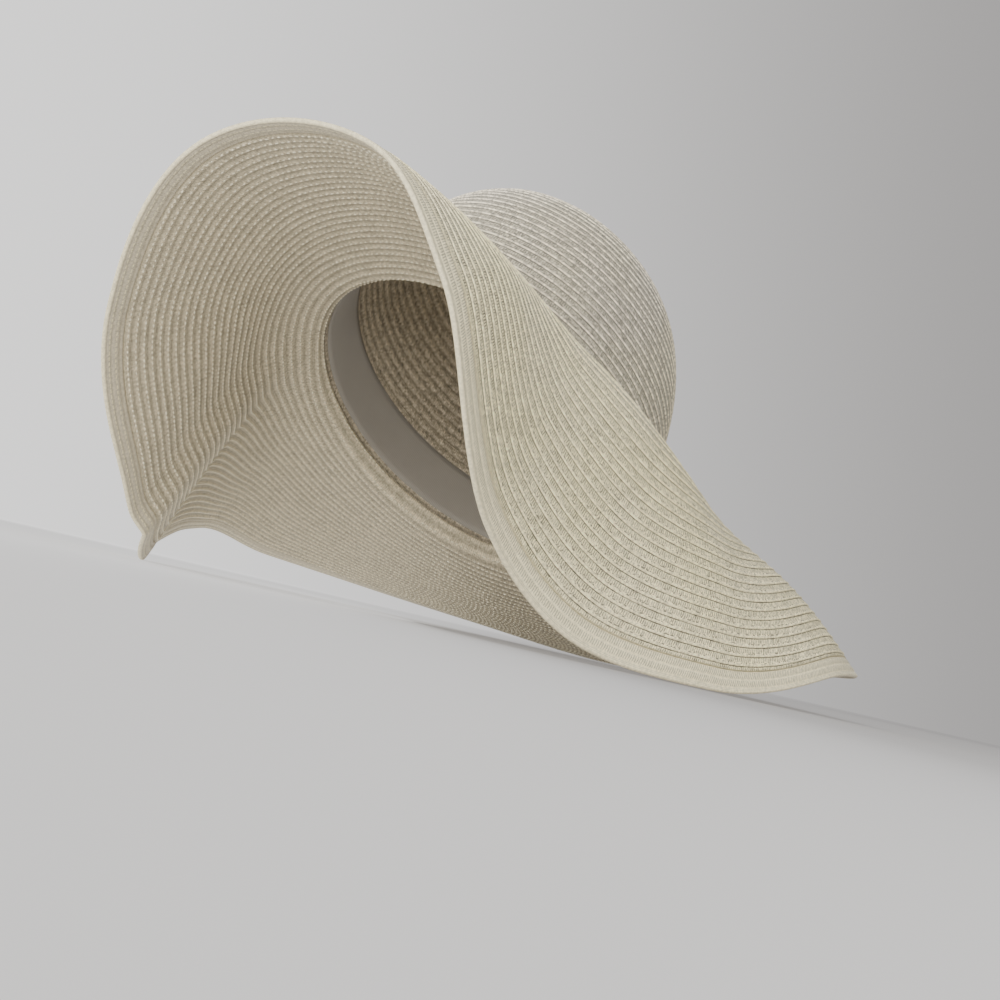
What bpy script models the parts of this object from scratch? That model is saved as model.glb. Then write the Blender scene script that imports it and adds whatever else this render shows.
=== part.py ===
"""Wide-brim sun hat of sewn straw braid, tipped back and resting on three points of its brim.

Metres, +Z up, the wearer's face towards -Y. The hat is built upright on its head opening,
with +Z along the crown, and is then tipped into the way it lies on a floor.
"""
import math

import bpy
import numpy as np

for old in list(bpy.data.objects):
    bpy.data.objects.remove(old, do_unlink=True)

# Crown
OPENING_LENGTH = 0.196
OPENING_WIDTH = 0.168
CROWN_HEIGHT = 0.118
CROWN_SQUARENESS = 0.48
CROWN_AROUND = 72
CROWN_RINGS = 11

# Braid, and the clearance between pieces that are sewn edge to edge
BRAID_THICKNESS = 0.0022
SEAM_GAP = 0.0003

# Brim: it leaves the crown wall in a small turn and ends in a doubled hem
BRIM_WIDTH = 0.150
TURN_RADIUS = 0.006
SHOULDER_SHARE = 0.30
HEM_WIDTH = 0.012
HEM_THICKNESS = 0.0030
BRIM_AROUND = 108
BRIM_ROWS = 10
TURN_ROWS = 4
PATH_STEPS = 60
TURN_STEPS = 8

# Sweatband inside the crown's mouth
BAND_HEIGHT = 0.028
BAND_THICKNESS = 0.0010
BAND_LIFT = 0.003
BAND_RINGS = 3

# Rest: how far the crown leans towards the back and the right of the wearer when it is set down
LEAN_BACK_DEG = 33.8
LEAN_RIGHT_DEG = 6.1

# One row per section, going round from the wearer's forehead by the left ear to the back.
# Slopes are in degrees above the opening's plane and swings in degrees to the wearer's left
# of straight out, each at the shoulder and at the rim. The last column is a share of the width.
SECTION_COLUMNS = ("azimuth", "slope_root", "slope_shoulder", "slope_rim",
                   "swing_shoulder", "swing_rim", "width_share")
BRIM_SECTIONS = (
    (0, -15, -29, -35, 5, 12, 0.97),
    (20, -10, -20, -37, 2, 0, 0.97),
    (40, -6, -32, -63, -11, -22, 1.00),
    (60, -5, -73, -90, -18, -26, 1.00),
    (80, 2, -80, -90, 10, 15, 1.03),
    (100, 10, -49, -86, 12, 12, 0.96),
    (120, 16, -4, -60, 2, -4, 0.88),
    (140, 14, 12, -8, 5, 0, 0.86),
    (160, 10, 18, 22, 3, 0, 0.94),
    (185, 6, 18, 30, 0, 0, 1.00),
    (210, 6, 16, 28, -5, -5, 1.00),
    (230, 6, 10, 18, -8, -12, 1.00),
    (250, 2, 1, 4, -15, -22, 0.98),
    (270, -10, -10, -14, -28, -36, 0.89),
    (288, -25, -44, -46, -42, -62, 0.82),
    (300, -42, -88, -92, -48, -76, 0.94),
    (312, -42, -86, -94, 10, -10, 0.96),
    (325, -34, -80, -86, 22, 10, 0.95),
    (340, -25, -52, -68, 23, 10, 0.95),
)


def around(count):
    """Evenly spaced azimuths, in radians from the wearer's front towards the left."""
    return np.arange(count) * 2 * math.pi / count


def section_values(azimuths):
    """Each column of the section table, blended smoothly and without end around the hat."""
    table = np.array(BRIM_SECTIONS, dtype=float)
    knots = np.concatenate((table[-2:, 0] - 360, table[:, 0], table[:2, 0] + 360))
    values = np.concatenate((table[-2:, 1:], table[:, 1:], table[:2, 1:]))
    steps = np.diff(knots)[:, None]
    rises = np.diff(values, axis=0) / steps
    tangents = np.zeros_like(values)
    tangents[1:-1] = (rises[:-1] * steps[1:] + rises[1:] * steps[:-1]) / (steps[1:] + steps[:-1])
    angle = np.degrees(azimuths) % 360
    left = np.clip(np.searchsorted(knots, angle, side="right") - 1, 1, len(knots) - 3)
    span = (knots[left + 1] - knots[left])[:, None]
    t = (angle - knots[left])[:, None] / span
    blended = ((2 * t**3 - 3 * t**2 + 1) * values[left]
               + (t**3 - 2 * t**2 + t) * span * tangents[left]
               + (3 * t**2 - 2 * t**3) * values[left + 1]
               + (t**3 - t**2) * span * tangents[left + 1])
    return dict(zip(SECTION_COLUMNS[1:], blended.T))


def opening_points(azimuths, height):
    """The head opening's oval at a height above its plane."""
    x = OPENING_WIDTH / 2 * np.sin(azimuths)
    y = -OPENING_LENGTH / 2 * np.cos(azimuths)
    return np.stack((x, y, np.full_like(x, height)), axis=-1)


def brim_surface(azimuths):
    """Middle of the brim's thickness, with each point's distance along the brim."""
    section = section_values(azimuths)
    root = np.radians(section["slope_root"])[:, None]
    shoulder = np.radians(section["slope_shoulder"])[:, None]
    rim = np.radians(section["slope_rim"])[:, None]
    swing_shoulder = np.radians(section["swing_shoulder"])[:, None]
    swing_rim = np.radians(section["swing_rim"])[:, None]

    turn = (np.arange(TURN_STEPS) + 0.5)[None, :] / TURN_STEPS
    turn_slope = -math.pi / 2 + (root + math.pi / 2) * turn
    turn_stride = TURN_RADIUS * (root + math.pi / 2) / TURN_STEPS + 0 * turn

    share = (np.arange(PATH_STEPS) + 0.5)[None, :] / PATH_STEPS
    to_shoulder = np.clip(share / SHOULDER_SHARE, 0, 1)
    to_rim = np.clip((share - SHOULDER_SHARE) / (1 - SHOULDER_SHARE), 0, 1)
    slope = root + (shoulder - root) * to_shoulder + (rim - shoulder) * to_rim
    swing = swing_shoulder * to_shoulder + (swing_rim - swing_shoulder) * to_rim
    stride = BRIM_WIDTH * section["width_share"][:, None] / PATH_STEPS + 0 * share

    outward = np.arctan2(OPENING_LENGTH * np.sin(azimuths), OPENING_WIDTH * np.cos(azimuths))
    slopes = np.concatenate((turn_slope, slope), axis=1)
    headings = outward[:, None] + np.concatenate((0 * turn_slope, swing), axis=1)
    strides = np.concatenate((turn_stride, stride), axis=1)
    steps = strides[..., None] * np.stack((np.cos(slopes) * np.sin(headings),
                                           -np.cos(slopes) * np.cos(headings),
                                           np.sin(slopes)), axis=-1)
    start = opening_points(azimuths, TURN_RADIUS)[:, None]
    points = np.concatenate((start, start + np.cumsum(steps, axis=1)), axis=1)
    places = np.concatenate((np.linspace(-1, 0, TURN_STEPS + 1),
                             (np.arange(PATH_STEPS) + 1) / PATH_STEPS))
    return places, points


def brim_grid(azimuths, wanted):
    """Points of the brim at the wanted places: -1 to 0 along the turn, then 0 to 1 to the rim."""
    places, points = brim_surface(azimuths)
    grid = np.empty((len(azimuths), len(wanted), 3))
    for i in range(len(azimuths)):
        for axis in range(3):
            grid[i, :, axis] = np.interp(wanted, places, points[i, :, axis])
    return grid


def crown_profile(heights):
    """Share of the opening's size that is left at a height on the crown."""
    rise = np.clip(np.asarray(heights) / CROWN_HEIGHT, 0, 1)
    return (1 - rise**2) ** (CROWN_SQUARENESS / 2)


def crown_heights():
    """Ring heights, evenly spaced along the crown's profile, up to just short of its tip."""
    fine = CROWN_HEIGHT * np.sin(np.linspace(0, math.pi / 2, 400))
    reach = crown_profile(fine) * (OPENING_LENGTH + OPENING_WIDTH) / 4
    length = np.concatenate(((0,), np.cumsum(np.hypot(np.diff(fine), np.diff(reach)))))
    first = np.interp(TURN_RADIUS + SEAM_GAP, fine, length)
    rings = np.linspace(first, length[-1], CROWN_RINGS + 1)[:-1]
    return np.interp(rings, length, fine)


def wall_grid(azimuths, heights, inset):
    """Rings that follow the crown wall at the given heights, moved inwards by inset."""
    shares = crown_profile(heights)
    x = (OPENING_WIDTH / 2 * shares[None, :] - inset) * np.sin(azimuths)[:, None]
    y = -(OPENING_LENGTH / 2 * shares[None, :] - inset) * np.cos(azimuths)[:, None]
    z = np.broadcast_to(np.asarray(heights)[None, :], x.shape)
    return np.stack((x, y, z), axis=-1)


def grid_normals(grid):
    """Unit normals of a closed ring of sections."""
    along = np.gradient(grid, axis=1)
    across = np.roll(grid, -1, axis=0) - np.roll(grid, 1, axis=0)
    normals = np.cross(across, along)
    return normals / np.linalg.norm(normals, axis=-1, keepdims=True)


def shell_mesh(grid, thickness, tip=None):
    """Vertices and faces of a wall of even thickness about a grid, closed over a tip if given."""
    normals = grid_normals(grid)
    count, rows = grid.shape[:2]
    outer = grid + normals * thickness / 2
    inner = grid - normals * thickness / 2
    vertices = list(outer.reshape(-1, 3)) + list(inner.reshape(-1, 3))
    half = count * rows

    def at(i, j, side):
        return side * half + (i % count) * rows + j

    faces = []
    for i in range(count):
        for j in range(rows - 1):
            faces.append((at(i, j, 0), at(i + 1, j, 0), at(i + 1, j + 1, 0), at(i, j + 1, 0)))
            faces.append((at(i, j + 1, 1), at(i + 1, j + 1, 1), at(i + 1, j, 1), at(i, j, 1)))
        faces.append((at(i, 0, 1), at(i + 1, 0, 1), at(i + 1, 0, 0), at(i, 0, 0)))
    last = rows - 1
    if tip is None:
        for i in range(count):
            faces.append((at(i, last, 0), at(i + 1, last, 0), at(i + 1, last, 1), at(i, last, 1)))
    else:
        rise = np.array((0, 0, thickness / 2))
        vertices.append(np.array(tip) + rise)
        vertices.append(np.array(tip) - rise)
        for i in range(count):
            faces.append((at(i, last, 0), at(i + 1, last, 0), 2 * half))
            faces.append((at(i + 1, last, 1), at(i, last, 1), 2 * half + 1))
    return np.array(vertices), faces


def rest_rotation():
    """Turn from the upright hat to the way it lies."""
    back = math.radians(LEAN_BACK_DEG)
    right = math.radians(LEAN_RIGHT_DEG)
    about_x = np.array(((1, 0, 0),
                        (0, math.cos(back), math.sin(back)),
                        (0, -math.sin(back), math.cos(back))))
    about_y = np.array(((math.cos(right), 0, -math.sin(right)),
                        (0, 1, 0),
                        (math.sin(right), 0, math.cos(right))))
    return about_x @ about_y


def add_piece(name, vertices, faces, colour, roughness):
    """A closed mesh object with its own material."""
    mesh = bpy.data.meshes.new(name)
    mesh.from_pydata([tuple(v) for v in vertices], [], faces)
    mesh.validate()
    mesh.update()
    material = bpy.data.materials.new(name)
    material.use_nodes = True
    shader = material.node_tree.nodes["Principled BSDF"]
    shader.inputs["Base Color"].default_value = colour
    shader.inputs["Roughness"].default_value = roughness
    mesh.materials.append(material)
    piece = bpy.data.objects.new(name, mesh)
    bpy.context.scene.collection.objects.link(piece)


# Crown, closed over its tip
crown_mesh = shell_mesh(wall_grid(around(CROWN_AROUND), crown_heights(), 0), BRAID_THICKNESS,
                        tip=(0, 0, CROWN_HEIGHT))

# Brim, from the crown wall to the hem
hem_start = 1 - HEM_WIDTH / BRIM_WIDTH
gap_share = SEAM_GAP / BRIM_WIDTH
brim_places = np.concatenate((np.linspace(-1, 0, TURN_ROWS + 1),
                              np.linspace(0, hem_start - gap_share, BRIM_ROWS)[1:]))
brim_mesh = shell_mesh(brim_grid(around(BRIM_AROUND), brim_places), BRAID_THICKNESS)

# Hem, a doubled band along the rim
hem_mesh = shell_mesh(brim_grid(around(BRIM_AROUND), np.array((hem_start, 1.0))), HEM_THICKNESS)

# Sweatband, a ribbon against the inside of the crown wall
band_inset = BRAID_THICKNESS / 2 + SEAM_GAP + BAND_THICKNESS / 2
band_heights = np.linspace(TURN_RADIUS + BAND_LIFT, TURN_RADIUS + BAND_LIFT + BAND_HEIGHT, BAND_RINGS)
band_mesh = shell_mesh(wall_grid(around(CROWN_AROUND), band_heights, band_inset), BAND_THICKNESS)

# Set down: tipped, then moved so that the box around the hat stands on the origin
pieces = (("crown", crown_mesh, (0.80, 0.77, 0.68, 1), 0.75),
          ("brim", brim_mesh, (0.80, 0.76, 0.64, 1), 0.75),
          ("hem", hem_mesh, (0.80, 0.76, 0.64, 1), 0.75),
          ("sweatband", band_mesh, (0.55, 0.51, 0.45, 1), 0.85))
turn_down = rest_rotation()
laid = [vertices @ turn_down.T for _, (vertices, _), _, _ in pieces]
low = np.min([points.min(axis=0) for points in laid], axis=0)
high = np.max([points.max(axis=0) for points in laid], axis=0)
stand = np.array(((low[0] + high[0]) / 2, (low[1] + high[1]) / 2, low[2]))
for (name, (_, faces), colour, roughness), points in zip(pieces, laid):
    add_piece(name, points - stand, faces, colour, roughness)
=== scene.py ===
"""Looks of the wide-brim sun hat: sewn straw braid, thread, hem, sweatband, floor, light and camera."""
import math

import bpy
import numpy as np
from mathutils import Matrix, Vector


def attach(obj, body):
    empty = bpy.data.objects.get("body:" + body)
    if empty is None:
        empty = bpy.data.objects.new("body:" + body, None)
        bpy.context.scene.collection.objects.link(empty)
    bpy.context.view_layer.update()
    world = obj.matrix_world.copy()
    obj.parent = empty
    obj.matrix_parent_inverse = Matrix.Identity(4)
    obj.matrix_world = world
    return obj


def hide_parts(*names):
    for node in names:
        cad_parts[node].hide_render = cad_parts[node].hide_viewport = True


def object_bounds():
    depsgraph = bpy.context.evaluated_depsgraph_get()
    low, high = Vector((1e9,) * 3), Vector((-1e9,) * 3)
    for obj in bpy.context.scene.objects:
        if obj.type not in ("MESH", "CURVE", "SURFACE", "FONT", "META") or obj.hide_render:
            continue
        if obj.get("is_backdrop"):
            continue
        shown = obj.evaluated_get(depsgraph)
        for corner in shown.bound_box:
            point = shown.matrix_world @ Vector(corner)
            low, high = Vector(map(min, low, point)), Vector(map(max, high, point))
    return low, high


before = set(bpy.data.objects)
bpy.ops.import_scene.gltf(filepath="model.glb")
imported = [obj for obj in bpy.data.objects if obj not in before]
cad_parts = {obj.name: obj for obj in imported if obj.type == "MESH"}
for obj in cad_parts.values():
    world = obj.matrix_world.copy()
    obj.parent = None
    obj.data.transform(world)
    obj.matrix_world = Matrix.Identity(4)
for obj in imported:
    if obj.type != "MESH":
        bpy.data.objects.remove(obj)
cad_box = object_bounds()


# Crown: one long straw braid, coiled from a button at the tip down to the head opening.
# Each turn overlaps the next one like a shingle and is sewn to it, so that the wall
# steps outwards row by row. It is tipped back as the hat lies on the floor.
OPENING_LENGTH = 0.196
OPENING_WIDTH = 0.168
CROWN_HEIGHT = 0.118
CROWN_SQUARENESS = 0.48
BRAID_THICKNESS = 0.0022
TURN_RADIUS = 0.006
LEAN_BACK_DEG = 33.8
LEAN_RIGHT_DEG = 6.1
CROWN_BRAID_PITCH = 0.0049
CROWN_AROUND = 272
CROWN_STEPS = 200
ROW_HEIGHT = 0.0008
UNDER_HEIGHT = 0.0006
UNEVENNESS = 0.00035
UNEVEN_SCALE = 45.0
WELD_DISTANCE = 0.000002
# Where the folds of a row lie across it, and the row's section: share across it and share of its height
OUTER_PHASES = (0.0, 0.14, 0.55, 0.80, 0.88, 0.97)
UNDER_PHASES = (0.0, 0.25, 0.5, 0.75)
SHINGLE_CURVE = ((0, 0.0), (0.14, 0.32), (0.55, 0.50), (0.80, 0.64), (0.88, 0.90), (0.97, 0.82), (1, 0.3))
RIDGE_CURVE = ((0, 0.0), (0.25, 0.75), (0.5, 1.0), (0.75, 0.75), (1, 0.0))
RELIEF_SIZES = {"Row Height": ROW_HEIGHT, "Under Height": UNDER_HEIGHT, "Unevenness": UNEVENNESS, "Seed": 3}
TICK_LENGTH = 0.00115
EDGE_START = (0.80, 0.87)
# Share of a crown row painted dark as the shadow under the next row's edge
CROWN_SEAM_SHADE = 0.20
# How much darker a crown row's body is painted than its edge: painted shade, partly the straw's own greyer tone
CROWN_PAINTED_SHADE = 0.58
# Crown straw, set darker and greyer than the brim's though it is the same straw: partly painted shade
CROWN_IVORY = (0.80, 0.72, 0.52)
# Underside straw, painted darker than the upper side as shade; here the shaded inside of the crown
CROWN_UNDER_SHADED = (0.62, 0.53, 0.38)


def lie_rotation():
    """Turn from the upright hat to the way it lies."""
    back = Matrix.Rotation(math.radians(-LEAN_BACK_DEG), 3, "X")
    right = Matrix.Rotation(math.radians(-LEAN_RIGHT_DEG), 3, "Y")
    return np.array(back @ right)


LIE = lie_rotation()
crown_solid = np.array([corner.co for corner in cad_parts["crown"].data.vertices])
crown_tip = crown_solid[np.argmax(crown_solid @ LIE[:, 2])]
LIE_PLACE = crown_tip - LIE @ np.array((0, 0, CROWN_HEIGHT + BRAID_THICKNESS / 2))


def lay_down(points):
    """Points of the upright hat, in the place where the hat lies."""
    return points @ LIE.T + LIE_PLACE


def around(count):
    """Evenly spaced azimuths, in radians from the wearer's front towards the left."""
    return np.arange(count) * 2 * math.pi / count


def crown_share(heights):
    """Share of the opening's size that is left at a height on the crown."""
    rise = np.clip(heights / CROWN_HEIGHT, 0, 1)
    return (1 - rise**2) ** (CROWN_SQUARENESS / 2)


def crown_profile(steps):
    """Heights down the crown from its tip, and how far along the wall each one is."""
    heights = CROWN_HEIGHT * np.cos(np.linspace(0, math.pi / 2, 6 * steps))
    reach = crown_share(heights) * (OPENING_LENGTH + OPENING_WIDTH) / 4
    length = np.concatenate(((0,), np.cumsum(np.hypot(np.diff(heights), np.diff(reach)))))
    end = np.interp(-TURN_RADIUS, -heights, length)
    wanted = np.linspace(0, end, steps)
    return np.interp(wanted, length, heights), wanted


def crown_wall(azimuths, heights, inset):
    """Rings that follow the crown wall at the given heights, moved inwards by inset."""
    shares = crown_share(heights)[None, :]
    x = np.maximum(OPENING_WIDTH / 2 * shares - inset, 0) * np.sin(azimuths)[:, None]
    y = -np.maximum(OPENING_LENGTH / 2 * shares - inset, 0) * np.cos(azimuths)[:, None]
    z = np.broadcast_to(heights[None, :], x.shape)
    return np.stack((x, y, z), axis=-1)


def outward_normals(sheet):
    """Unit normals on the upper side of rings that run outwards from the tip."""
    along = np.gradient(sheet, axis=1)
    across = np.roll(sheet, -1, axis=0) - np.roll(sheet, 1, axis=0)
    normals = np.cross(along, across)
    length = np.linalg.norm(normals, axis=-1, keepdims=True)
    return np.where(length > 1e-12, normals / np.maximum(length, 1e-12), np.array((0.0, 0.0, 1.0)))


def spiral_lines(sheet, distances, pitch, phases):
    """Points along each line of a coiled braid, with the line's distance and its row."""
    count = len(sheet)
    length = distances[-1]
    rows = int(math.ceil(length / pitch))
    steps = [row + phase for row in range(-1, rows) for phase in phases] + [rows]
    turn = np.arange(count + 1) / count
    reach = np.clip((np.array(steps)[:, None] + turn[None, :]) * pitch, 0, length)
    place = np.interp(reach, distances, np.arange(len(distances)))
    low = np.minimum(place.astype(int), len(distances) - 2)
    part = (place - low)[..., None]
    column = np.broadcast_to(np.arange(count + 1) % count, reach.shape)
    return steps, reach, sheet[column, low] * (1 - part) + sheet[column, low + 1] * part


def coil_lengths(sheet, distances, pitch):
    """Length of braid used up from the start of the coil to each azimuth of each row."""
    steps, _, middle = spiral_lines(sheet, distances, pitch, (0.5,))
    legs = np.linalg.norm(np.diff(middle[:-1], axis=1), axis=-1)
    used = np.concatenate(((0,), np.cumsum(legs.ravel())))
    count = len(sheet)
    return np.stack([used[row * count:row * count + count + 1] for row in range(len(steps) - 1)])


def new_piece(name, points, edges, faces, pattern):
    """An object at the origin, its mesh laid down with the hat, and its faces smooth and mapped."""
    mesh = bpy.data.meshes.new(name)
    mesh.from_pydata(lay_down(points).tolist(), edges, faces)
    if faces:
        mesh.uv_layers.new(name="weave").data.foreach_set("uv", np.array(pattern).ravel())
        mesh.polygons.foreach_set("use_smooth", [True] * len(faces))
    piece = bpy.data.objects.new(name, mesh)
    bpy.context.scene.collection.objects.link(piece)
    return piece


def mark_points(piece, label, values):
    """Gives each vertex a number."""
    piece.data.attributes.new(label, "FLOAT", "POINT").data.foreach_set("value", values)


def mark_ways(piece, ways):
    """Gives each vertex its way out of the straw."""
    laid = (ways @ LIE.T).ravel()
    piece.data.attributes.new("way_out", "FLOAT_VECTOR", "POINT").data.foreach_set("vector", laid)


def braid_base(name, sheet, distances, pitch, open_start):
    """Smooth closed wall with one line of vertices along each fold of each braid row.

    The vertices carry the phase across their row, the side they are on and the way out.
    """
    normals = outward_normals(sheet)
    count = len(sheet)
    used = coil_lengths(sheet, distances, pitch)
    both = np.concatenate((sheet, normals), axis=-1)
    corners = []
    phase_of = []
    under_of = []
    out_of = []
    faces = []
    pattern = []
    ends = []
    for under, phases in ((0.0, OUTER_PHASES), (1.0, UNDER_PHASES)):
        steps, reach, carried = spiral_lines(both, distances, pitch, phases)
        first = sum(len(block) for block in corners)
        per_row = len(phases)
        lines = len(steps)
        way = carried[:, :count, 3:] * (1 - 2 * under)
        corners.append((carried[:, :count, :3] + way * BRAID_THICKNESS / 2).reshape(-1, 3))
        out_of.append(way.reshape(-1, 3))
        turn = np.arange(count)[None, :] / count
        clipped = (reach[:, :count] <= 0) | (reach[:, :count] >= distances[-1])
        own = np.broadcast_to(np.array([(step % 1) for step in steps])[:, None], clipped.shape)
        phase_of.append(np.where(clipped, (reach[:, :count] / pitch - turn) % 1, own).ravel())
        under_of.append(np.full(lines * count, under))

        def corner(line, column):
            if column < count:
                return first + line * count + column
            return first + min(line + per_row, lines - 1) * count

        for line in range(lines - 1):
            row = line // per_row
            near = row + phases[line % per_row]
            far = row + (phases[line % per_row + 1] if line % per_row + 1 < per_row else 1.0)
            for column in range(count):
                if reach[line, column] == reach[line + 1, column + 1]:
                    continue
                loop = [corner(line, column), corner(line + 1, column),
                        corner(line + 1, column + 1), corner(line, column + 1)]
                here, there = used[row, column], used[row, column + 1]
                marks = [(here, near), (here, far), (there, far), (there, near)]
                faces.append(loop if under else loop[::-1])
                pattern.append(marks if under else marks[::-1])
        ends.append(([corner(0, column) for column in range(count)],
                     [corner(lines - 1, column) for column in range(count)]))

    for at_end in (0, 1):
        if at_end == 0 and not open_start:
            continue
        upper, lower = ends[0][at_end], ends[1][at_end]
        for column in range(count):
            after = (column + 1) % count
            loop = [upper[column], lower[column], lower[after], upper[after]]
            faces.append(loop if at_end == 0 else loop[::-1])
            pattern.append([(0.0, 0.1)] * 4)

    piece = new_piece(name, np.concatenate(corners), [], faces, pattern)
    mark_points(piece, "phase", np.concatenate(phase_of))
    mark_points(piece, "underside", np.concatenate(under_of))
    mark_ways(piece, np.concatenate(out_of))
    return piece


def add_node(tree, kind, settings=None, inputs=None):
    """A node of any kind, with its settings made first, then its sockets' values and links."""
    made = tree.nodes.new(kind)
    for label, value in (settings or {}).items():
        if label == "curve":
            bend = made.mapping.curves[0]
            bend.points[0].location = value[0]
            bend.points[1].location = value[-1]
            for place in value[1:-1]:
                bend.points.new(*place)
            made.mapping.update()
        else:
            setattr(made, label, value)
    for label, value in (inputs or {}).items():
        if isinstance(value, bpy.types.NodeSocket):
            tree.links.new(value, made.inputs[label])
        else:
            made.inputs[label].default_value = value
    return made


def named_inputs(tree, sizes):
    """Geometry in and out of a tree, and a number input for each named size."""
    tree.interface.new_socket("Geometry", in_out="OUTPUT", socket_type="NodeSocketGeometry")
    tree.interface.new_socket("Geometry", in_out="INPUT", socket_type="NodeSocketGeometry")
    for label, value in sizes.items():
        kind = "NodeSocketInt" if isinstance(value, int) else "NodeSocketFloat"
        tree.interface.new_socket(label, in_out="INPUT", socket_type=kind).default_value = value
    return add_node(tree, "NodeGroupInput").outputs


def attribute(tree, label, kind="FLOAT"):
    """A value that the vertices carry."""
    return add_node(tree, "GeometryNodeInputNamedAttribute", {"data_type": kind},
                    {"Name": label}).outputs["Attribute"]


def relief_tree(material):
    """Lifts each braid row into a shingle outside and a soft ridge inside, a little unevenly."""
    tree = bpy.data.node_groups.new("braid_relief", "GeometryNodeTree")
    given = named_inputs(tree, RELIEF_SIZES)
    phase = attribute(tree, "phase")
    shingle = add_node(tree, "ShaderNodeFloatCurve", {"curve": SHINGLE_CURVE}, {"Value": phase})
    ridge = add_node(tree, "ShaderNodeFloatCurve", {"curve": RIDGE_CURVE}, {"Value": phase})
    upper = add_node(tree, "ShaderNodeMath", {"operation": "MULTIPLY"},
                     {0: shingle.outputs[0], 1: given["Row Height"]})
    lower = add_node(tree, "ShaderNodeMath", {"operation": "MULTIPLY"},
                     {0: ridge.outputs[0], 1: given["Under Height"]})
    lift = add_node(tree, "ShaderNodeMix", {"data_type": "FLOAT"},
                    {0: attribute(tree, "underside"), 2: upper.outputs[0], 3: lower.outputs[0]})
    ripple = add_node(tree, "ShaderNodeTexNoise", {"noise_dimensions": "4D"},
                      {"W": given["Seed"], "Scale": UNEVEN_SCALE, "Detail": 2.0})
    centred = add_node(tree, "ShaderNodeMath", {"operation": "SUBTRACT"}, {0: ripple.outputs[0], 1: 0.5})
    uneven = add_node(tree, "ShaderNodeMath", {"operation": "MULTIPLY_ADD"},
                      {0: centred.outputs[0], 1: given["Unevenness"], 2: lift.outputs[0]})
    offset = add_node(tree, "ShaderNodeVectorMath", {"operation": "SCALE"},
                      {0: attribute(tree, "way_out", "FLOAT_VECTOR"), "Scale": uneven.outputs[0]})
    moved = add_node(tree, "GeometryNodeSetPosition", None,
                     {"Geometry": given["Geometry"], "Offset": offset.outputs[0]})
    welded = add_node(tree, "GeometryNodeMergeByDistance", None,
                      {"Geometry": moved.outputs[0], "Distance": WELD_DISTANCE})
    real = add_node(tree, "GeometryNodeRealizeInstances", None, {0: welded.outputs[0]})
    dressed = add_node(tree, "GeometryNodeSetMaterial", None,
                       {"Geometry": real.outputs[0], "Material": material})
    add_node(tree, "NodeGroupOutput", None, {0: dressed.outputs[0]})
    return tree


def apply_tree(piece, tree, sizes):
    """Runs a Geometry Nodes tree at the given sizes and keeps what it makes as the piece's mesh."""
    modifier = piece.modifiers.new(tree.name, "NODES")
    modifier.node_group = tree
    sockets = {item.name: item.identifier for item in tree.interface.items_tree if item.in_out == "INPUT"}
    for label, value in sizes.items():
        modifier[sockets[label]] = value
    evaluated = piece.evaluated_get(bpy.context.evaluated_depsgraph_get())
    made = bpy.data.meshes.new_from_object(evaluated)
    piece.modifiers.remove(modifier)
    made.name = piece.name
    piece.data = made


class Shade:
    """A number that changes over a surface, for sums in a material's nodes."""

    def __init__(self, tree, socket):
        self.tree = tree
        self.socket = socket

    def math(self, operation, *others):
        values = [other.socket if isinstance(other, Shade) else other for other in others]
        made = add_node(self.tree, "ShaderNodeMath", {"operation": operation},
                        dict(enumerate([self.socket] + values)))
        return Shade(self.tree, made.outputs[0])

    def __add__(self, other):
        return self.math("ADD", other)

    def __sub__(self, other):
        return self.math("SUBTRACT", other)

    def __mul__(self, other):
        return self.math("MULTIPLY", other)

    def __rsub__(self, other):
        return self.math("MULTIPLY_ADD", -1.0, other)

    __radd__ = __add__
    __rmul__ = __mul__

    def fract(self):
        return self.math("FRACT")

    def step(self, low, high):
        """0 below low, 1 above high and smooth between; high may be the lower one."""
        made = add_node(self.tree, "ShaderNodeMapRange", {"interpolation_type": "SMOOTHSTEP"},
                        {"Value": self.socket, "From Min": low, "From Max": high})
        return Shade(self.tree, made.outputs[0])


def new_finish(name, roughness, sheen):
    """A material's tree and its shader, with what is the same all over set on the shader."""
    material = bpy.data.materials.new(name)
    material.use_nodes = True
    shader = material.node_tree.nodes["Principled BSDF"]
    shader.inputs["Roughness"].default_value = roughness
    shader.inputs["Sheen Weight"].default_value = sheen
    shader.inputs["Sheen Roughness"].default_value = 0.5
    shader.inputs["Specular IOR Level"].default_value = 0.3
    return material, material.node_tree, shader


def blend_colour(tree, share, first, second):
    """The first colour where share is 0, the second where it is 1."""
    colours = [(*c, 1.0) if isinstance(c, tuple) else c for c in (first, second)]
    return add_node(tree, "ShaderNodeMix", {"data_type": "RGBA"},
                    {0: share.socket, 6: colours[0], 7: colours[1]}).outputs[2]


def toned(colour, share):
    """A share of a colour, for its darker tones."""
    return tuple(c * share for c in colour)


def weave_map(tree):
    """How far along and across the weave a point lies, from the piece's own map."""
    uv = add_node(tree, "ShaderNodeUVMap", {"uv_map": "weave"}).outputs[0]
    parts = add_node(tree, "ShaderNodeSeparateXYZ", None, {0: uv}).outputs
    return Shade(tree, parts[0]), Shade(tree, parts[1])


def noise(tree, scale, detail=3.0):
    """Noise that stays fixed to the piece."""
    place = add_node(tree, "ShaderNodeTexCoord").outputs["Object"]
    return Shade(tree, add_node(tree, "ShaderNodeTexNoise", None,
                                {"Vector": place, "Scale": scale, "Detail": detail}).outputs[0])


def underside_share(tree):
    """1 on the underside and 0 on the upper side."""
    return Shade(tree, add_node(tree, "ShaderNodeAttribute", {"attribute_name": "underside"}).outputs["Fac"])


def scaled_colour(tree, colour, share):
    """A colour made lighter or darker by a number that changes over the surface."""
    return add_node(tree, "ShaderNodeVectorMath", {"operation": "SCALE"},
                    {0: colour, "Scale": share.socket}).outputs[0]


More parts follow.
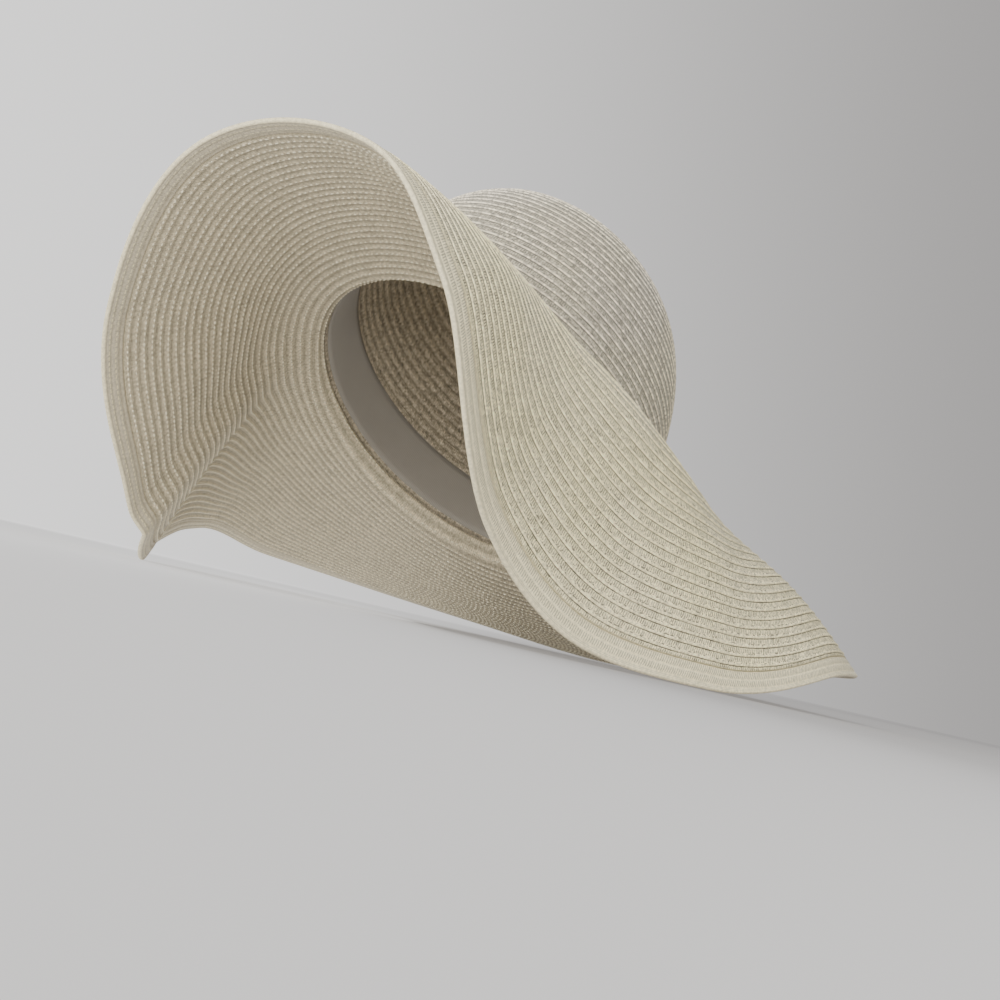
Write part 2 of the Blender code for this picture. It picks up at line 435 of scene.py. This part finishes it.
def feed_shader(tree, shader, colour, height, strength, depth):
    """Gives a shader its colour and a bump from a height."""
    tree.links.new(colour, shader.inputs["Base Color"])
    bump = add_node(tree, "ShaderNodeBump", None,
                    {"Strength": strength, "Distance": depth, "Height": height.socket})
    tree.links.new(bump.outputs[0], shader.inputs["Normal"])


def straw_finish(name, ivory, under, seam_shade_reach, painted_body_shade):
    """Knitted straw braid: upright loops with dark slots, specks, a pale edge and a shaded seam.

    The seam reach is the share of a row painted dark as the shadow of the next row's edge, and the
    body shade says how much darker the row's body is painted than its pale edge. This is painted shade,
    which leaves the raised edge as a painted highlight; on the crown it is partly the straw's own greyer tone.
    """
    material, tree, shader = new_finish(name, 0.62, 0.15)
    along, row = weave_map(tree)
    phase = row.fract()

    def random_in(first, second):
        spot = add_node(tree, "ShaderNodeCombineXYZ", None,
                        {0: first.math("FLOOR").socket, 1: second.math("FLOOR").socket, 2: 0.0}).outputs[0]
        return Shade(tree, add_node(tree, "ShaderNodeTexWhiteNoise", None, {"Vector": spot}).outputs["Value"])

    fibre = noise(tree, 900.0)
    patch = noise(tree, 110.0).step(0.40, 0.62)
    cloud = noise(tree, 16.0).step(0.35, 0.68)
    tick = along * (1 / TICK_LENGTH) + phase * 0.35 + fibre * 0.5
    wave = (tick.fract() - 0.5).math("ABSOLUTE") * 2.0
    loops = phase.step(0.12, 0.18) * phase.step(0.66, 0.58)
    slot = wave.step(0.34, 0.74) * loops * (random_in(tick, row * 2.0) * 0.80 + 0.20)
    speck = random_in(along * (1.6 / TICK_LENGTH), row * 9.0).step(0.55, 0.80)
    speck = speck * (1.0 - loops) * phase.step(0.86, 0.78)
    edge = phase.step(*EDGE_START)
    # Painted shadow at the seam: the part of a row under the next row's edge, and the row's very end
    seam_shade = (1.0 - phase.step(seam_shade_reach * 0.3, seam_shade_reach) * phase.step(1.0, 0.985)) * (patch * 0.3 + 0.7)

    upper = blend_colour(tree, patch, toned(ivory, 0.88), ivory)
    upper = blend_colour(tree, cloud * 0.5, upper, (ivory[0] * 0.90, ivory[1] * 0.90, ivory[2] * 1.06))
    # Painted shade on the row's body, which leaves its raised edge pale as a painted highlight
    upper = blend_colour(tree, (1.0 - edge) * painted_body_shade, upper, toned(ivory, 0.40))
    upper = blend_colour(tree, slot + speck * 0.9, upper, toned(ivory, 0.12))
    # The seam's painted shadow
    upper = blend_colour(tree, seam_shade, upper, toned(ivory, 0.07))
    # Underside: the valleys between the ridges are painted darker as shade, and the ridges lighter
    ridge = 1.0 - (phase - 0.5).math("ABSOLUTE").step(0.10, 0.44)
    lower = blend_colour(tree, ridge, toned(under, 0.52), toned(under, 0.84))
    lower = blend_colour(tree, wave.step(0.42, 0.85) * 0.40 + patch * 0.20, lower, toned(under, 0.40))
    mixed = blend_colour(tree, underside_share(tree), upper, lower)
    spread = 0.24 + painted_body_shade * 0.75
    grain = fibre.step(0.28, 0.72) * 0.50 + random_in(tick, row * 4.0) * spread + (0.80 - spread * 0.5)
    tree.links.new((slot * 0.2 + fibre * 0.25 + 0.5).socket, shader.inputs["Roughness"])
    height = (1.0 - slot) * 0.6 + fibre * 0.5 - seam_shade * 0.5 - speck * 0.3
    feed_shader(tree, shader, scaled_colour(tree, mixed, grain), height, 0.9, 0.0006)
    return material


crown_heights, crown_distances = crown_profile(CROWN_STEPS)
crown = braid_base("crown_braid", crown_wall(around(CROWN_AROUND), crown_heights, 0),
                   crown_distances, CROWN_BRAID_PITCH, open_start=False)
crown_straw = straw_finish("crown_straw", CROWN_IVORY, CROWN_UNDER_SHADED, CROWN_SEAM_SHADE, CROWN_PAINTED_SHADE)
apply_tree(crown, relief_tree(crown_straw), RELIEF_SIZES)
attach(crown, "root")
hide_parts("crown")


# Brim: the same braid, coiled on from the crown for some thirty rows. It leaves the wall in
# a small turn and falls in folds at the front and the side, each set by a row of the table
# below: slopes above the opening's plane and swings to the left, in degrees.
BRIM_WIDTH = 0.150
SHOULDER_SHARE = 0.30
HEM_WIDTH = 0.012
BRIM_BRAID_PITCH = 0.0053
BRIM_AROUND = 320
PATH_STEPS = 120
TURN_STEPS = 12
BRIM_IVORY = (0.97, 0.87, 0.51)
# Share of a brim row painted dark as the shadow under the next row's edge
BRIM_SEAM_SHADE = 0.14
# How much darker a brim row's body is painted than its edge, as painted shade
BRIM_PAINTED_SHADE = 0.08
# Underside straw, painted a little darker than the upper side as shade
BRIM_UNDER_SHADED = (0.88, 0.76, 0.52)

SECTION_COLUMNS = ("azimuth", "slope_root", "slope_shoulder", "slope_rim",
                   "swing_shoulder", "swing_rim", "width_share")
BRIM_SECTIONS = (
    (0, -15, -29, -35, 5, 12, 0.97),
    (20, -10, -20, -37, 2, 0, 0.97),
    (40, -6, -32, -63, -11, -22, 1.00),
    (60, -5, -73, -90, -18, -26, 1.00),
    (80, 2, -80, -90, 10, 15, 1.03),
    (100, 10, -49, -86, 12, 12, 0.96),
    (120, 16, -4, -60, 2, -4, 0.88),
    (140, 14, 12, -8, 5, 0, 0.86),
    (160, 10, 18, 22, 3, 0, 0.94),
    (185, 6, 18, 30, 0, 0, 1.00),
    (210, 6, 16, 28, -5, -5, 1.00),
    (230, 6, 10, 18, -8, -12, 1.00),
    (250, 2, 1, 4, -15, -22, 0.98),
    (270, -10, -10, -14, -28, -36, 0.89),
    (288, -25, -44, -46, -42, -62, 0.82),
    (300, -42, -88, -92, -48, -76, 0.94),
    (312, -42, -86, -94, 10, -10, 0.96),
    (325, -34, -80, -86, 22, 10, 0.95),
    (340, -25, -52, -68, 23, 10, 0.95),
)


def section_values(azimuths):
    """Each column of the section table, blended smoothly and without end around the hat."""
    table = np.array(BRIM_SECTIONS, dtype=float)
    knots = np.concatenate((table[-2:, 0] - 360, table[:, 0], table[:2, 0] + 360))
    values = np.concatenate((table[-2:, 1:], table[:, 1:], table[:2, 1:]))
    steps = np.diff(knots)[:, None]
    rises = np.diff(values, axis=0) / steps
    tangents = np.zeros_like(values)
    tangents[1:-1] = (rises[:-1] * steps[1:] + rises[1:] * steps[:-1]) / (steps[1:] + steps[:-1])
    angle = np.degrees(azimuths) % 360
    left = np.clip(np.searchsorted(knots, angle, side="right") - 1, 1, len(knots) - 3)
    span = (knots[left + 1] - knots[left])[:, None]
    t = (angle - knots[left])[:, None] / span
    blended = ((2 * t**3 - 3 * t**2 + 1) * values[left]
               + (t**3 - 2 * t**2 + t) * span * tangents[left]
               + (3 * t**2 - 2 * t**3) * values[left + 1]
               + (t**3 - t**2) * span * tangents[left + 1])
    return dict(zip(SECTION_COLUMNS[1:], blended.T))


def brim_sheet(azimuths):
    """Middle of the brim's thickness: one line of points out from the crown per azimuth."""
    section = section_values(azimuths)
    root = np.radians(section["slope_root"])[:, None]
    shoulder = np.radians(section["slope_shoulder"])[:, None]
    rim = np.radians(section["slope_rim"])[:, None]
    swing_shoulder = np.radians(section["swing_shoulder"])[:, None]
    swing_rim = np.radians(section["swing_rim"])[:, None]

    turn = (np.arange(TURN_STEPS) + 0.5)[None, :] / TURN_STEPS
    turn_slope = -math.pi / 2 + (root + math.pi / 2) * turn
    turn_stride = TURN_RADIUS * (root + math.pi / 2) / TURN_STEPS + 0 * turn

    share = (np.arange(PATH_STEPS) + 0.5)[None, :] / PATH_STEPS
    to_shoulder = np.clip(share / SHOULDER_SHARE, 0, 1)
    to_rim = np.clip((share - SHOULDER_SHARE) / (1 - SHOULDER_SHARE), 0, 1)
    slope = root + (shoulder - root) * to_shoulder + (rim - shoulder) * to_rim
    swing = swing_shoulder * to_shoulder + (swing_rim - swing_shoulder) * to_rim
    stride = BRIM_WIDTH * section["width_share"][:, None] / PATH_STEPS + 0 * share

    outward = np.arctan2(OPENING_LENGTH * np.sin(azimuths), OPENING_WIDTH * np.cos(azimuths))
    slopes = np.concatenate((turn_slope, slope), axis=1)
    headings = outward[:, None] + np.concatenate((0 * turn_slope, swing), axis=1)
    strides = np.concatenate((turn_stride, stride), axis=1)
    steps = strides[..., None] * np.stack((np.cos(slopes) * np.sin(headings),
                                           -np.cos(slopes) * np.cos(headings),
                                           np.sin(slopes)), axis=-1)
    start = crown_wall(azimuths, np.array((0.0,)), 0)
    start[..., 2] = TURN_RADIUS
    return np.concatenate((start, start + np.cumsum(steps, axis=1)), axis=1)


TURN_LENGTH = TURN_RADIUS * math.pi / 2
brim_points = brim_sheet(around(BRIM_AROUND))
brim_distances = np.concatenate((np.linspace(0, TURN_LENGTH, TURN_STEPS + 1),
                                 TURN_LENGTH + BRIM_WIDTH * (np.arange(PATH_STEPS) + 1) / PATH_STEPS))
sewn_length = TURN_LENGTH + BRIM_WIDTH - HEM_WIDTH
sewn_steps = np.searchsorted(brim_distances, sewn_length, side="right")
brim = braid_base("brim_braid", brim_points[:, :sewn_steps], brim_distances[:sewn_steps],
                  BRIM_BRAID_PITCH, open_start=True)
brim_straw = straw_finish("brim_straw", BRIM_IVORY, BRIM_UNDER_SHADED, BRIM_SEAM_SHADE, BRIM_PAINTED_SHADE)
apply_tree(brim, relief_tree(brim_straw), RELIEF_SIZES)
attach(brim, "root")
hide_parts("brim")


# Thread: the rows are sewn together from below with one line of pale, slightly shiny
# stitches along each row, which shows as dotted lines on the underside of the brim.
STITCH_LENGTH = 0.0021
STITCH_WIDTH = 0.00095
STITCH_PITCH = 0.0027
STITCH_SIZES = {"Stitch Length": STITCH_LENGTH, "Stitch Width": STITCH_WIDTH,
                "Stitch Pitch": STITCH_PITCH, "Seed": 7}
THREAD_END_GAP = 0.001
THREAD_CREAM = (0.97, 0.90, 0.68)


def thread_finish(name, cream):
    """Polyester thread: a soft shine, a faint twist and small changes of tone."""
    material, tree, shader = new_finish(name, 0.34, 0.2)
    twist = noise(tree, 500.0, 2.0)
    colour = blend_colour(tree, twist.step(0.3, 0.7), toned(cream, 0.82), cream)
    feed_shader(tree, shader, colour, twist, 0.4, 0.0002)
    return material


def stitch_tree(material):
    """Lays a small lens-shaped stitch at each step along a path, flat against the straw."""
    tree = bpy.data.node_groups.new("thread_stitches", "GeometryNodeTree")
    given = named_inputs(tree, STITCH_SIZES)
    path = add_node(tree, "GeometryNodeMeshToCurve", None, {"Mesh": given["Geometry"]})
    spaced = add_node(tree, "GeometryNodeResampleCurve", {"mode": "LENGTH"},
                      {"Curve": path.outputs[0], "Length": given["Stitch Pitch"]})
    ahead = add_node(tree, "GeometryNodeInputTangent").outputs[0]
    along = add_node(tree, "FunctionNodeAlignRotationToVector", {"axis": "X"}, {"Vector": ahead})
    flat = add_node(tree, "FunctionNodeAlignRotationToVector", {"axis": "Z", "pivot_axis": "X"},
                    {"Rotation": along.outputs[0], "Vector": attribute(tree, "way_out", "FLOAT_VECTOR")})
    bead = add_node(tree, "GeometryNodeMeshUVSphere", None, {"Segments": 4, "Rings": 3, "Radius": 0.5})
    smooth = add_node(tree, "GeometryNodeSetShadeSmooth", None, {"Geometry": bead.outputs[0]})
    size = add_node(tree, "ShaderNodeCombineXYZ", None,
                    {0: given["Stitch Length"], 1: given["Stitch Width"], 2: given["Stitch Width"]})
    vary = add_node(tree, "FunctionNodeRandomValue", {"data_type": "FLOAT"},
                    {"Min": 0.8, "Max": 1.15, "Seed": given["Seed"]})
    scale = add_node(tree, "ShaderNodeVectorMath", {"operation": "SCALE"},
                     {0: size.outputs[0], "Scale": vary.outputs["Value"]})
    laid = add_node(tree, "GeometryNodeInstanceOnPoints", None,
                    {"Points": spaced.outputs[0], "Instance": smooth.outputs[0],
                     "Rotation": flat.outputs[0], "Scale": scale.outputs[0]})
    real = add_node(tree, "GeometryNodeRealizeInstances", None, {0: laid.outputs[0]})
    dressed = add_node(tree, "GeometryNodeSetMaterial", None,
                       {"Geometry": real.outputs[0], "Material": material})
    add_node(tree, "NodeGroupOutput", None, {0: dressed.outputs[0]})
    return tree


brim_normals = outward_normals(brim_points)
both_ways = np.concatenate((brim_points, brim_normals), axis=-1)
_, reach, carried = spiral_lines(both_ways[:, :sewn_steps], brim_distances[:sewn_steps],
                                 BRIM_BRAID_PITCH, (0.5,))
inside = (reach > THREAD_END_GAP) & (reach < sewn_length - THREAD_END_GAP)
inside[:, -1] = False
sewn_points = carried[inside]
sewn_ways = -sewn_points[:, 3:]
sewn_lift = BRAID_THICKNESS / 2 + UNDER_HEIGHT
path_edges = [(i, i + 1) for i in range(len(sewn_points) - 1)]
brim_thread = new_piece("brim_thread", sewn_points[:, :3] + sewn_ways * sewn_lift, path_edges, [], [])
mark_ways(brim_thread, sewn_ways)
apply_tree(brim_thread, stitch_tree(thread_finish("cream_thread", THREAD_CREAM)), STITCH_SIZES)
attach(brim_thread, "root")


# Hem: the last braid rows are covered by a smooth doubled band, turned over the rim and
# pressed flat, with two rows of loops above, a thin plain strip and a narrow bead at the edge.
HEM_BAND = (0.90, 0.81, 0.53)
# Underside of the band, painted darker than its upper side as shade
HEM_UNDER_SHADED = (0.84, 0.74, 0.53)
HEM_BEAD = (0.78, 0.69, 0.46)
HEM_SEWN_LINES = (0.42, 0.74)
# Distance along the band and height above its middle, both in millimetres, going round it
HEM_PROFILE = (
    (-0.3, 0.3), (0.2, 1.1), (2.2, 1.35), (4.2, 1.15), (4.6, 0.90), (5.0, 1.15), (7.0, 1.30),
    (8.8, 1.10), (9.2, 0.90), (9.6, 1.05), (10.7, 1.00), (11.0, 1.15), (11.6, 1.05), (12.0, 0.50),
    (12.0, -0.30), (11.6, -0.85), (11.0, -0.95), (10.6, -0.75), (10.0, -1.10), (8.2, -1.20),
    (7.6, -0.80), (7.0, -1.15), (5.0, -1.50), (2.8, -1.15), (2.2, -0.80), (1.6, -1.15),
    (0.2, -1.10), (-0.3, -0.5),
)


def hem_band(name, points):
    """The hem's closed profile, carried round the rim of brim points that have their normals."""
    count = len(points)
    rim_start = BRIM_WIDTH + TURN_LENGTH - HEM_WIDTH
    rings = []
    for reach_mm, height_mm in HEM_PROFILE:
        want = min(rim_start + reach_mm / 1000, brim_distances[-1])
        past = rim_start + reach_mm / 1000 - want
        place = np.interp(want, brim_distances, np.arange(len(brim_distances)))
        low = min(int(place), len(brim_distances) - 2)
        here = points[:, low] * (1 - place + low) + points[:, low + 1] * (place - low)
        ahead = points[:, -1, :3] - points[:, -2, :3]
        ahead /= np.linalg.norm(ahead, axis=-1, keepdims=True)
        rings.append(here[:, :3] + here[:, 3:] * height_mm / 1000 + ahead * past)
    loop = np.stack(rings)
    legs = np.linalg.norm(np.roll(points[:, -1, :3], -1, axis=0) - points[:, -1, :3], axis=-1)
    used = np.concatenate(((0,), np.cumsum(legs)))
    faces = []
    pattern = []
    for side in range(len(HEM_PROFILE)):
        after_side = (side + 1) % len(HEM_PROFILE)
        for column in range(count):
            after = (column + 1) % count
            faces.append((side * count + column, side * count + after,
                          after_side * count + after, after_side * count + column))
            near = HEM_PROFILE[side][0] / 1000 / HEM_WIDTH
            far = HEM_PROFILE[after_side][0] / 1000 / HEM_WIDTH
            pattern += [(used[column], near), (used[column + 1], near),
                        (used[column + 1], far), (used[column], far)]
    piece = new_piece(name, loop.reshape(-1, 3), [], faces, pattern)
    mark_points(piece, "underside", np.repeat([float(height <= 0) for _, height in HEM_PROFILE], count))
    return piece


def band_finish(name, ivory, under, bead):
    """Tightly pressed straw: two rows of fine loops above, a strip of lines and a pale bead."""
    material, tree, shader = new_finish(name, 0.6, 0.15)
    along, across = weave_map(tree)
    fibre = noise(tree, 800.0)
    tick = along * (1 / TICK_LENGTH) + fibre * 0.5
    wave = (tick.fract() - 0.5).math("ABSOLUTE") * 2.0
    knit = across.step(0.02, 0.06) * across.step(0.36, 0.32) + across.step(0.42, 0.46) * across.step(0.74, 0.69)
    slot = wave.step(0.40, 0.82) * knit
    lines = ((across * 16.0).fract() - 0.5).math("ABSOLUTE").step(0.30, 0.46)
    crease = lines * across.step(0.74, 0.78) * across.step(0.93, 0.90)
    upper = blend_colour(tree, slot * 0.70 + crease * 0.55, ivory, toned(ivory, 0.28))
    sewn_lines = [(across - line).math("ABSOLUTE").step(0.045, 0.02) for line in HEM_SEWN_LINES]
    sewn = sewn_lines[0] + sewn_lines[1]
    dotted = sewn * ((along * (1 / STITCH_PITCH)).fract() - 0.5).math("ABSOLUTE").step(0.40, 0.28)
    # The underside is painted darker still as shade, with pale dotted stitches
    lower = blend_colour(tree, dotted, toned(under, 0.72), ivory)
    mixed = blend_colour(tree, underside_share(tree), upper, lower)
    mixed = blend_colour(tree, across.step(0.90, 0.96), mixed, bead)
    grain = fibre.step(0.28, 0.72) * 0.30 + 0.80
    height = fibre * 0.6 - slot * 0.6 - crease * 0.4
    feed_shader(tree, shader, scaled_colour(tree, mixed, grain), height, 0.6, 0.0004)
    return material


hem = hem_band("hem_band", both_ways)
hem.data.materials.append(band_finish("hem_straw", HEM_BAND, HEM_UNDER_SHADED, HEM_BEAD))
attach(hem, "root")
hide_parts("hem")


# Sweatband: a taupe ribbon with fine upright ribs, sewn by its lower edge inside the crown's
# mouth. It shows as a smooth strip between the brim and the dark inside of the crown.
BAND_HEIGHT = 0.028
BAND_THICKNESS = 0.0010
BAND_LIFT = 0.003
SEAM_GAP = 0.0003
RIB_LENGTH = 0.0009
BAND_AROUND = 200
BAND_ROWS = 9
BAND_TAUPE = (0.36, 0.33, 0.28)


def ribbon(name, count, rows):
    """A closed ring of ribbon that follows the crown wall, a little rounded at both edges."""
    rise = np.linspace(0, 1, rows)
    heights = TURN_RADIUS + BAND_LIFT + BAND_HEIGHT * rise
    middle = BRAID_THICKNESS / 2 + SEAM_GAP + BAND_THICKNESS / 2
    half = BAND_THICKNESS / 2 * np.clip(np.minimum(rise, 1 - rise) * 40, 0.35, 1)
    inner = np.stack([crown_wall(around(count), heights[j:j + 1], middle + half[j])[:, 0]
                      for j in range(rows)])
    outer = np.stack([crown_wall(around(count), heights[j:j + 1], middle - half[j])[:, 0]
                      for j in reversed(range(rows))])
    loop = np.concatenate((inner, outer))
    faces = []
    pattern = []
    for side in range(2 * rows):
        after_side = (side + 1) % (2 * rows)
        for column in range(count):
            after = (column + 1) % count
            faces.append((side * count + column, after_side * count + column,
                          after_side * count + after, side * count + after))
            near, far = side / (2 * rows), (side + 1) / (2 * rows)
            pattern += [(column / count, near), (column / count, far),
                        ((column + 1) / count, far), ((column + 1) / count, near)]
    return new_piece(name, loop.reshape(-1, 3), [], faces, pattern)


def ribbon_finish(name, taupe):
    """Ribbed ribbon with a faint shine."""
    material, tree, shader = new_finish(name, 0.7, 0.3)
    around_share, _ = weave_map(tree)
    girth = math.pi * (OPENING_LENGTH + OPENING_WIDTH) / 2
    rib = ((around_share * round(girth / RIB_LENGTH)).fract() - 0.5).math("ABSOLUTE") * 2.0
    wear = noise(tree, 60.0, 4.0)
    colour = blend_colour(tree, rib * 0.5 + wear * 0.4, taupe, toned(taupe, 0.7))
    feed_shader(tree, shader, colour, rib, 0.4, 0.0002)
    return material


sweatband = ribbon("sweatband_ribbon", BAND_AROUND, BAND_ROWS)
sweatband.data.materials.append(ribbon_finish("taupe_ribbon", BAND_TAUPE))
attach(sweatband, "root")
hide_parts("sweatband")


# Studio: a wide pale floor that fades into an even pale backdrop, and three soft lamps. The
# floor glows a little, like a light table, so that the underside is lit as evenly as in the photo.
FLOOR_REACH = 6.0
FLOOR_SIDES = 128
FLOOR_FADE = (0.9, 2.6)
FLOOR_GREY = (0.62, 0.61, 0.60)
BACKDROP_LIGHT = (0.99, 0.98, 0.97)
BACKDROP_DARK = (0.31, 0.30, 0.295)
DARKER_TOWARDS = (0.757, 0.606, 0.24)
BACKDROP_FALL = (-0.32, 0.36)
FLOOR_GLOW = 0.55
BACKDROP_STRENGTH = 1.38


def backdrop_colour(tree, direction):
    """The backdrop's even fall from its light side to its darker one."""
    facing = add_node(tree, "ShaderNodeVectorMath", {"operation": "NORMALIZE"}, {0: direction})
    across = add_node(tree, "ShaderNodeVectorMath", {"operation": "DOT_PRODUCT"},
                      {0: facing.outputs[0], 1: DARKER_TOWARDS})
    share = Shade(tree, across.outputs["Value"]).step(*BACKDROP_FALL)
    return blend_colour(tree, share, BACKDROP_LIGHT, BACKDROP_DARK)


floor_mesh = bpy.data.meshes.new("floor")
floor_mesh.from_pydata([(FLOOR_REACH * math.cos(turn), FLOOR_REACH * math.sin(turn), 0.0)
                        for turn in around(FLOOR_SIDES)], [], [tuple(range(FLOOR_SIDES))])
floor_material, floor_tree, floor_shader = new_finish("pale_floor", 0.9, 0.0)
floor_shader.inputs["Base Color"].default_value = (*FLOOR_GREY, 1.0)
floor_place = add_node(floor_tree, "ShaderNodeTexCoord").outputs["Object"]
away = add_node(floor_tree, "ShaderNodeVectorMath", {"operation": "LENGTH"}, {0: floor_place})
fade = Shade(floor_tree, away.outputs["Value"]).step(*FLOOR_FADE) * (1 - FLOOR_GLOW) + FLOOR_GLOW
glow = add_node(floor_tree, "ShaderNodeEmission", None,
                {"Color": backdrop_colour(floor_tree, floor_place), "Strength": BACKDROP_STRENGTH})
faded = add_node(floor_tree, "ShaderNodeMixShader", None,
                 {0: fade.socket, 1: floor_shader.outputs[0], 2: glow.outputs[0]})
floor_tree.links.new(faded.outputs[0], floor_tree.nodes["Material Output"].inputs["Surface"])
floor_mesh.materials.append(floor_material)
floor = bpy.data.objects.new("floor", floor_mesh)
bpy.context.scene.collection.objects.link(floor)
floor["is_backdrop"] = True

# Each lamp: name, place, size across and power in watts; all point at the hat
STUDIO_LAMPS = (
    ("key_lamp", (0.2, -1.6, 0.55), 1.4, 22),
    ("low_lamp", (0.9, -1.3, 0.16), 0.5, 7),
    ("side_lamp", (1.6, -0.3, 0.8), 1.2, 9),
)
LAMPS_LOOK_AT = Vector((0, 0, 0.1))
for name, place, wide, power in STUDIO_LAMPS:
    lamp = bpy.data.lights.new(name, "AREA")
    lamp.shape = "DISK"
    lamp.size = wide
    lamp.energy = power
    holder = bpy.data.objects.new(name, lamp)
    holder.location = place
    holder.rotation_euler = (LAMPS_LOOK_AT - Vector(place)).to_track_quat("-Z", "Y").to_euler()
    bpy.context.scene.collection.objects.link(holder)
sky = bpy.data.worlds.new("studio")
sky.use_nodes = True
sky_direction = add_node(sky.node_tree, "ShaderNodeTexCoord").outputs["Generated"]
backdrop = sky.node_tree.nodes["Background"]
backdrop.inputs["Strength"].default_value = BACKDROP_STRENGTH
sky.node_tree.links.new(backdrop_colour(sky.node_tree, sky_direction), backdrop.inputs["Color"])
bpy.context.scene.world = sky

# Camera: low before the hat and a little to the wearer's left, looking up under the brim.
# Its turn, lift and roll are given about the upright hat, and lie down with it.
CAMERA_TURN_DEG = 43.0
CAMERA_LIFT_DEG = -33.6
CAMERA_ROLL_DEG = 31.3
CAMERA_AWAY = 0.913
CAMERA_SHIFT_RIGHT = -0.014
CAMERA_SHIFT_DOWN = -0.032
CAMERA_SENSOR_MM = 36.0
CAMERA_LENS_MM = 66.6
CAMERA_CLIP_START = 0.005
camera_turn = math.radians(CAMERA_TURN_DEG)
camera_lift = math.radians(CAMERA_LIFT_DEG)
backwards = Vector((math.sin(camera_turn) * math.cos(camera_lift),
                    -math.cos(camera_turn) * math.cos(camera_lift), math.sin(camera_lift)))
level = Vector((0, 0, 1)).cross(backwards).normalized()
roll = Matrix.Rotation(math.radians(CAMERA_ROLL_DEG), 3, backwards)
right_way = roll @ level
up_way = backwards.cross(right_way)
eye = backwards * CAMERA_AWAY - right_way * CAMERA_SHIFT_RIGHT + up_way * CAMERA_SHIFT_DOWN
axes = Matrix(LIE.tolist()) @ Matrix((right_way, up_way, backwards)).transposed()
camera_data = bpy.data.cameras.new("camera")
camera_data.sensor_width = CAMERA_SENSOR_MM
camera_data.lens = CAMERA_LENS_MM
camera_data.clip_start = CAMERA_CLIP_START
camera = bpy.data.objects.new("camera", camera_data)
camera.rotation_euler = axes.to_euler()
camera.location = lay_down(np.array(eye)[None])[0]
bpy.context.scene.collection.objects.link(camera)
bpy.context.scene.camera = camera

for label, box in (("cad", cad_box), ("visual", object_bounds())):
    numbers = [[round(float(value), 5) for value in corner] for corner in box]
    label + " " + str(numbers) + chr(10)
